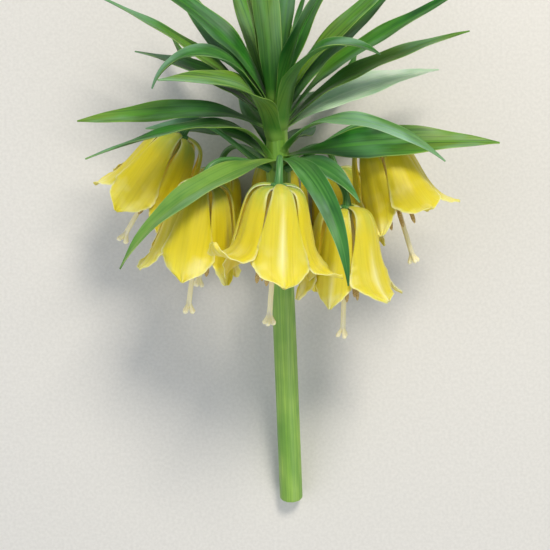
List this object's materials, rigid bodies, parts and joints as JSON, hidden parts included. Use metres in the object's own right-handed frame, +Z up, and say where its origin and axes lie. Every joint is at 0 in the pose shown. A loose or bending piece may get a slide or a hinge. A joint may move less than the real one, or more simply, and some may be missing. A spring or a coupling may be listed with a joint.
{
  "type": "crown imperial fritillary",
  "caption": "Cut flowering stem of a yellow crown imperial, lying down: hanging bells on arched stalks round a stout stem, under a tuft of long green leaves.",
  "frame": {"origin": "bottom centre of the lying stem's bounding box, on the surface it rests on", "axes": "+Y along the stem toward the leafy crown, +X to the flower's right seen from above with the crown up, +Z up from the surface"},
  "size_m": [0.2428, 0.3482, 0.1568],
  "materials": {
    "stem": "satin",
    "flower_stalk": "satin",
    "petal": "satin",
    "style": "matte",
    "crown_leaf": "satin",
    "umbel_leaf": "satin"
  },
  "bodies": {
    "root": {"stem": "stem", "flower_stalk_1": "flower_stalk", "flower_stalk_2": "flower_stalk", "flower_stalk_3": "flower_stalk", "flower_stalk_4": "flower_stalk", "flower_stalk_5": "flower_stalk", "flower_stalk_6": "flower_stalk", "flower_stalk_7": "flower_stalk", "flower_stalk_8": "flower_stalk", "bloom_1": "petal", "bloom_2": "petal", "bloom_3": "petal", "bloom_4": "petal", "bloom_5": "petal", "bloom_6": "petal", "bloom_7": "petal", "bloom_8": "petal", "stamens_and_style_1": "style", "stamens_and_style_2": "style", "stamens_and_style_3": "style", "stamens_and_style_4": "style", "stamens_and_style_5": "style", "stamens_and_style_6": "style", "stamens_and_style_7": "style", "stamens_and_style_8": "style", "crown_leaf_01": "crown_leaf", "crown_leaf_02": "crown_leaf", "crown_leaf_03": "crown_leaf", "crown_leaf_04": "crown_leaf", "crown_leaf_05": "crown_leaf", "crown_leaf_06": "crown_leaf", "crown_leaf_07": "crown_leaf", "crown_leaf_08": "crown_leaf", "crown_leaf_09": "crown_leaf", "crown_leaf_10": "crown_leaf", "crown_leaf_11": "crown_leaf", "crown_leaf_12": "crown_leaf", "crown_leaf_13": "crown_leaf", "crown_leaf_14": "crown_leaf", "crown_leaf_15": "crown_leaf", "crown_leaf_16": "crown_leaf", "crown_leaf_17": "crown_leaf", "crown_leaf_18": "crown_leaf", "crown_leaf_19": "crown_leaf", "crown_leaf_20": "crown_leaf", "crown_leaf_21": "crown_leaf", "crown_leaf_22": "crown_leaf", "crown_leaf_23": "crown_leaf", "crown_leaf_24": "crown_leaf", "crown_leaf_25": "crown_leaf", "umbel_leaf_1": "umbel_leaf", "umbel_leaf_2": "umbel_leaf", "umbel_leaf_3": "umbel_leaf", "umbel_leaf_4": "umbel_leaf", "umbel_leaf_5": "umbel_leaf", "umbel_leaf_6": "umbel_leaf", "umbel_leaf_7": "umbel_leaf", "umbel_leaf_8": "umbel_leaf", "umbel_leaf_9": "umbel_leaf"}
  },
  "joints": []
}
